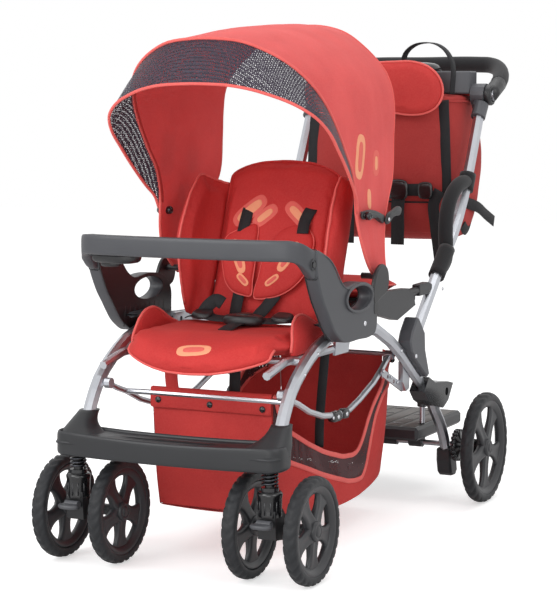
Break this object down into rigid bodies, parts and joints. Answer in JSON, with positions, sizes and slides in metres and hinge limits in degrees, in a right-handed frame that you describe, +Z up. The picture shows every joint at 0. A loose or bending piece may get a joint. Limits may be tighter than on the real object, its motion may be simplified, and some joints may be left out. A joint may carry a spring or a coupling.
{
  "type": "tandem sit-and-stand pushchair",
  "caption": "Folding tandem pram with a canopied front seat, a rear jump seat over a rider platform, twin swivel casters, a tilting foam handlebar, a parent console, a bag and a cloth basket.",
  "frame": {"origin": "centre of the footprint's bounding box, on the floor under the wheels", "axes": "+Z up, +Y from the front casters to the handlebar, +X to the right of someone who looks at the pram from the front"},
  "size_m": [0.6128, 1.3141, 1.0365],
  "materials": {
    "aluminium_tube": "satin",
    "grey_plastic": "fine texture",
    "black_plastic": "satin",
    "gloss_black": "glossy",
    "tyre_foam": "matte",
    "grip_foam": "matte foam",
    "spring_steel": "black oxide",
    "red_cloth": "woven polyester",
    "coral_cloth": "woven polyester"
  },
  "bodies": {
    "front_frame": {"footrest": "grey_plastic", "seat_frame": "aluminium_tube", "seat_pad": "red_cloth", "canopy_rear": "coral_cloth", "basket": "red_cloth", "front_tube_l": "aluminium_tube", "armrest_l": "grey_plastic", "suspension_spring_l": "spring_steel", "front_tube_r": "aluminium_tube", "armrest_r": "grey_plastic", "suspension_spring_r": "spring_steel"},
    "rear_frame": {"rear_axle": "aluminium_tube", "platform": "black_plastic", "console": "grey_plastic", "jump_seat_frame": "grey_plastic", "jump_seat_pad": "red_cloth", "bag": "coral_cloth", "rear_tube_l": "aluminium_tube", "lock_housing_l": "gloss_black", "rear_leg_l": "aluminium_tube", "leg_boot_l": "black_plastic", "handle_bracket_l": "grey_plastic", "handle_tube_l": "aluminium_tube", "grab_grip_l": "grip_foam", "handle_joint_l": "grey_plastic", "rear_tube_r": "aluminium_tube", "lock_housing_r": "gloss_black", "rear_leg_r": "aluminium_tube", "leg_boot_r": "black_plastic", "handle_bracket_r": "grey_plastic", "handle_tube_r": "aluminium_tube", "grab_grip_r": "grip_foam", "handle_joint_r": "grey_plastic"},
    "strut_l": {"suspension_strut_l": "black_plastic"},
    "caster_l": {"caster_fork_l": "black_plastic"},
    "swivel_lock_l": {"swivel_lock_l": "grey_plastic"},
    "front_wheel_l_outer": {"front_wheel_l_outer": "tyre_foam"},
    "front_wheel_l_inner": {"front_wheel_l_inner": "tyre_foam"},
    "rear_wheel_l": {"rear_rim_l": "black_plastic", "rear_tyre_l": "tyre_foam"},
    "strut_r": {"suspension_strut_r": "black_plastic"},
    "caster_r": {"caster_fork_r": "black_plastic"},
    "swivel_lock_r": {"swivel_lock_r": "grey_plastic"},
    "front_wheel_r_outer": {"front_wheel_r_outer": "tyre_foam"},
    "front_wheel_r_inner": {"front_wheel_r_inner": "tyre_foam"},
    "rear_wheel_r": {"rear_rim_r": "black_plastic", "rear_tyre_r": "tyre_foam"},
    "brace_front": {"brace_front": "aluminium_tube"},
    "brace_rear": {"brace_rear": "aluminium_tube"},
    "brake_pedal": {"brake_pedal": "black_plastic"},
    "handlebar": {"handlebar": "grip_foam"},
    "console_lid": {"console_lid": "gloss_black"},
    "tray": {"tray": "grey_plastic"},
    "backrest": {"backrest_pad": "red_cloth"},
    "canopy_main": {"canopy_main": "coral_cloth"},
    "canopy_visor": {"canopy_visor": "coral_cloth"},
    "tray_button_l": {"tray_button_l": "black_plastic"},
    "tilt_button_l": {"tilt_button_l": "grey_plastic"},
    "tray_button_r": {"tray_button_r": "black_plastic"},
    "tilt_button_r": {"tilt_button_r": "grey_plastic"}
  },
  "joints": [
    {"name": "frame_fold", "type": "hinge", "parent": "front_frame", "child": "rear_frame", "pos_m": [0, -0.2425, 0.432], "axis": [1, 0, 0], "range_deg": [-30, 0], "deforming": ["basket"]},
    {"name": "suspension_l", "type": "slide", "parent": "front_frame", "child": "strut_l", "axis": [0, 0, 1], "range_m": [0, 0.01], "stiffness_N_per_m": 24000, "springref_m": -0.006, "deforming": ["suspension_spring_l"]},
    {"name": "caster_swivel_l", "type": "hinge", "parent": "strut_l", "child": "caster_l", "pos_m": [0.201, -0.5975, 0.1762], "axis": [0, 0, 1], "continuous": true},
    {"name": "swivel_lock_flip_l", "type": "hinge", "parent": "caster_l", "child": "swivel_lock_l", "pos_m": [0.201, -0.6207, 0.1192], "axis": [1, 0, 0], "range_deg": [-25, 0]},
    {"name": "front_spin_l_outer", "type": "hinge", "parent": "caster_l", "child": "front_wheel_l_outer", "pos_m": [0.2623, -0.5515, 0.1], "axis": [1, 0, 0], "continuous": true},
    {"name": "front_spin_l_inner", "type": "hinge", "parent": "caster_l", "child": "front_wheel_l_inner", "pos_m": [0.1397, -0.5515, 0.1], "axis": [1, 0, 0], "continuous": true},
    {"name": "rear_spin_l", "type": "hinge", "parent": "rear_frame", "child": "rear_wheel_l", "pos_m": [0.2934, 0.2659, 0.12], "axis": [1, 0, 0], "continuous": true},
    {"name": "suspension_r", "type": "slide", "parent": "front_frame", "child": "strut_r", "axis": [0, 0, 1], "range_m": [0, 0.01], "stiffness_N_per_m": 24000, "springref_m": -0.006, "deforming": ["suspension_spring_r"]},
    {"name": "caster_swivel_r", "type": "hinge", "parent": "strut_r", "child": "caster_r", "pos_m": [-0.201, -0.5975, 0.1762], "axis": [0, 0, 1], "continuous": true},
    {"name": "swivel_lock_flip_r", "type": "hinge", "parent": "caster_r", "child": "swivel_lock_r", "pos_m": [-0.201, -0.6207, 0.1192], "axis": [1, 0, 0], "range_deg": [-25, 0]},
    {"name": "front_spin_r_outer", "type": "hinge", "parent": "caster_r", "child": "front_wheel_r_outer", "pos_m": [-0.2623, -0.5515, 0.1], "axis": [1, 0, 0], "continuous": true},
    {"name": "front_spin_r_inner", "type": "hinge", "parent": "caster_r", "child": "front_wheel_r_inner", "pos_m": [-0.1397, -0.5515, 0.1], "axis": [1, 0, 0], "continuous": true},
    {"name": "rear_spin_r", "type": "hinge", "parent": "rear_frame", "child": "rear_wheel_r", "pos_m": [-0.2934, 0.2659, 0.12], "axis": [1, 0, 0], "continuous": true},
    {"name": "brace_front_turn", "type": "hinge", "parent": "front_frame", "child": "brace_front", "pos_m": [0, -0.5125, 0.336], "axis": [1, 0, 0], "range_deg": [-31, 1]},
    {"name": "brace_rear_turn", "type": "hinge", "parent": "rear_frame", "child": "brace_rear", "pos_m": [0, -0.0095, 0.35], "axis": [1, 0, 0], "range_deg": [-1, 33]},
    {"name": "brake_press", "type": "hinge", "parent": "rear_frame", "child": "brake_pedal", "pos_m": [0, 0.2659, 0.12], "axis": [1, 0, 0], "range_deg": [-18, 0]},
    {"name": "handlebar_tilt", "type": "hinge", "parent": "rear_frame", "child": "handlebar", "pos_m": [0, 0.4765, 0.882], "axis": [1, 0, 0], "range_deg": [-35, 35]},
    {"name": "lid_open", "type": "hinge", "parent": "rear_frame", "child": "console_lid", "pos_m": [0, 0.5295, 0.9393], "axis": [1, 0, 0], "range_deg": [-90, 0]},
    {"name": "tray_pull", "type": "slide", "parent": "front_frame", "child": "tray", "axis": [0, -1, 0], "range_m": [0, 0.045]},
    {"name": "backrest_recline", "type": "hinge", "parent": "front_frame", "child": "backrest", "pos_m": [0, -0.2055, 0.42], "axis": [1, 0, 0], "range_deg": [-22, 0]},
    {"name": "canopy_turn", "type": "hinge", "parent": "front_frame", "child": "canopy_main", "pos_m": [0, -0.1875, 0.53], "axis": [1, 0, 0], "range_deg": [-22, 0]},
    {"name": "visor_turn", "type": "hinge", "parent": "canopy_main", "child": "canopy_visor", "pos_m": [0, -0.1875, 0.53], "axis": [1, 0, 0], "range_deg": [-20, 1]},
    {"name": "tray_press_l", "type": "slide", "parent": "tray", "child": "tray_button_l", "axis": [-1, 0, 0], "range_m": [0, 0.003], "stiffness_N_per_m": 400, "springref_m": -0.002},
    {"name": "tilt_press_l", "type": "slide", "parent": "handlebar", "child": "tilt_button_l", "axis": [-1, 0, 0], "range_m": [0, 0.003], "stiffness_N_per_m": 600, "springref_m": -0.002},
    {"name": "tray_press_r", "type": "slide", "parent": "tray", "child": "tray_button_r", "axis": [1, 0, 0], "range_m": [0, 0.003], "stiffness_N_per_m": 400, "springref_m": -0.002},
    {"name": "tilt_press_r", "type": "slide", "parent": "handlebar", "child": "tilt_button_r", "axis": [1, 0, 0], "range_m": [0, 0.003], "stiffness_N_per_m": 600, "springref_m": -0.002}
  ],
  "couplings": [
    {"joint": "brace_front_turn", "follows": "frame_fold", "ratio": 1},
    {"joint": "brace_rear_turn", "follows": "frame_fold", "ratio": -1.0615},
    {"joint": "visor_turn", "follows": "canopy_turn", "ratio": 0.864}
  ]
}
